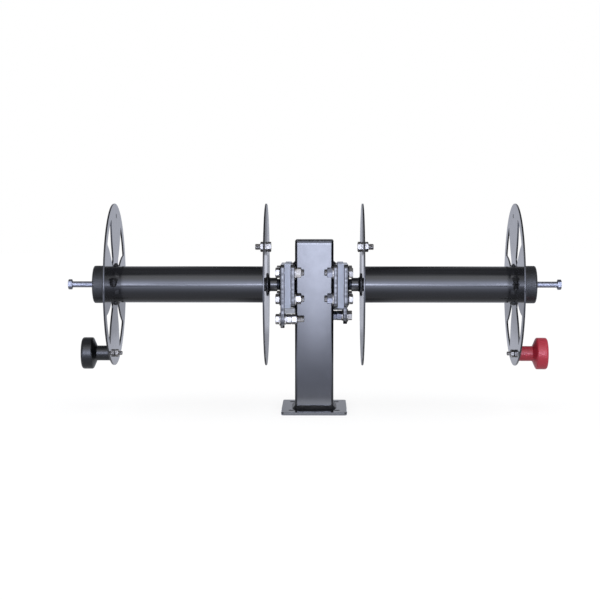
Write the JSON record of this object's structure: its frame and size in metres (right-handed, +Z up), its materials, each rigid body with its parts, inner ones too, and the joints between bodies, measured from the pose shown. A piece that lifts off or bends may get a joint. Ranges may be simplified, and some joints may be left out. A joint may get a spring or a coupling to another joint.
{
  "type": "cable reel",
  "caption": "Post-mounted dual cable reel: drums with round flanges on insulated spindles, with crank knobs, tension bolts and lug studs, on a bolt-down base plate.",
  "frame": {"origin": "middle of the base plate's underside", "axes": "+X along the reel axis to the side with the red knob, +Z up, -Y towards the front"},
  "size_m": [0.7744, 0.254, 0.3238],
  "materials": {
    "powder_coat": "gloss black powder coat",
    "cap_plastic": "moulded black polyethylene",
    "cap_vinyl": "dipped black vinyl",
    "insulator_board": "satin blue-grey board",
    "bush_nylon": "moulded black nylon",
    "zinc_plate": "bright zinc plate",
    "turned_steel": "turned, bare",
    "oiled_steel": "blackened and oiled",
    "bronze": "turned bronze",
    "knob_black": "moulded black plastic",
    "knob_red": "moulded red plastic"
  },
  "bodies": {
    "stand": {"base_plate": "powder_coat", "base_weld": "powder_coat", "post_tube": "powder_coat", "post_cap": "cap_plastic", "left_mounting_plate": "powder_coat", "left_plate_welds": "powder_coat", "left_insulator": "insulator_board", "left_contact_plate": "powder_coat", "left_insulating_bushes": "bush_nylon", "left_stack_bolts": "zinc_plate", "left_washers": "zinc_plate", "left_stack_nuts": "zinc_plate", "left_lug_bolt": "zinc_plate", "left_lug_nuts": "zinc_plate", "left_spindle": "oiled_steel", "left_spindle_weld": "powder_coat", "left_thrust_washer": "bronze", "right_mounting_plate": "powder_coat", "right_plate_welds": "powder_coat", "right_insulator": "insulator_board", "right_contact_plate": "powder_coat", "right_insulating_bushes": "bush_nylon", "right_stack_bolts": "zinc_plate", "right_washers": "zinc_plate", "right_stack_nuts": "zinc_plate", "right_lug_bolt": "zinc_plate", "right_lug_nuts": "zinc_plate", "right_spindle": "oiled_steel", "right_spindle_weld": "powder_coat", "right_thrust_washer": "bronze"},
    "left_reel": {"left_drum_tube": "powder_coat", "left_inner_flange": "powder_coat", "left_outer_flange": "powder_coat", "left_hub_tube": "powder_coat", "left_reel_welds": "powder_coat", "left_outer_bearing": "turned_steel", "left_end_plate": "turned_steel", "left_end_cap": "cap_vinyl", "left_lug_stud": "zinc_plate", "left_stud_nut": "zinc_plate"},
    "left_brake": {"left_brake_button": "bronze"},
    "left_tension_screw": {"left_tension_bolt": "zinc_plate"},
    "left_crank_knob": {"left_knob": "knob_black", "left_knob_bolt": "zinc_plate", "left_knob_nut": "zinc_plate"},
    "right_reel": {"right_drum_tube": "powder_coat", "right_inner_flange": "powder_coat", "right_outer_flange": "powder_coat", "right_hub_tube": "powder_coat", "right_reel_welds": "powder_coat", "right_outer_bearing": "turned_steel", "right_end_plate": "turned_steel", "right_end_cap": "cap_vinyl", "right_lug_stud": "zinc_plate", "right_stud_nut": "zinc_plate"},
    "right_brake": {"right_brake_button": "bronze"},
    "right_tension_screw": {"right_tension_bolt": "zinc_plate"},
    "right_crank_knob": {"right_knob": "knob_red", "right_knob_bolt": "zinc_plate", "right_knob_nut": "zinc_plate"}
  },
  "joints": [
    {"name": "left_reel_spin", "type": "hinge", "parent": "stand", "child": "left_reel", "pos_m": [0, 0, 0.19685], "axis": [1, 0, 0], "continuous": true},
    {"name": "left_brake_travel", "type": "slide", "parent": "left_reel", "child": "left_brake", "axis": [-1, 0, 0], "range_m": [0, 0.00635]},
    {"name": "left_tension_turn", "type": "hinge", "parent": "left_brake", "child": "left_tension_screw", "pos_m": [0, 0, 0.19685], "axis": [-1, 0, 0], "range_deg": [0, 1440]},
    {"name": "left_knob_spin", "type": "hinge", "parent": "left_reel", "child": "left_crank_knob", "pos_m": [-0.3145, -0.01316, 0.08965], "axis": [1, 0, 0], "continuous": true},
    {"name": "right_reel_spin", "type": "hinge", "parent": "stand", "child": "right_reel", "pos_m": [0, 0, 0.19685], "axis": [1, 0, 0], "continuous": true},
    {"name": "right_brake_travel", "type": "slide", "parent": "right_reel", "child": "right_brake", "axis": [1, 0, 0], "range_m": [0, 0.00635]},
    {"name": "right_tension_turn", "type": "hinge", "parent": "right_brake", "child": "right_tension_screw", "pos_m": [0, 0, 0.19685], "axis": [1, 0, 0], "range_deg": [0, 1440]},
    {"name": "right_knob_spin", "type": "hinge", "parent": "right_reel", "child": "right_crank_knob", "pos_m": [0.3145, -0.01316, 0.08965], "axis": [1, 0, 0], "continuous": true}
  ],
  "couplings": [
    {"joint": "left_tension_turn", "follows": "left_brake_travel", "rad_per_m": 3957.9},
    {"joint": "right_tension_turn", "follows": "right_brake_travel", "rad_per_m": 3957.9}
  ]
}
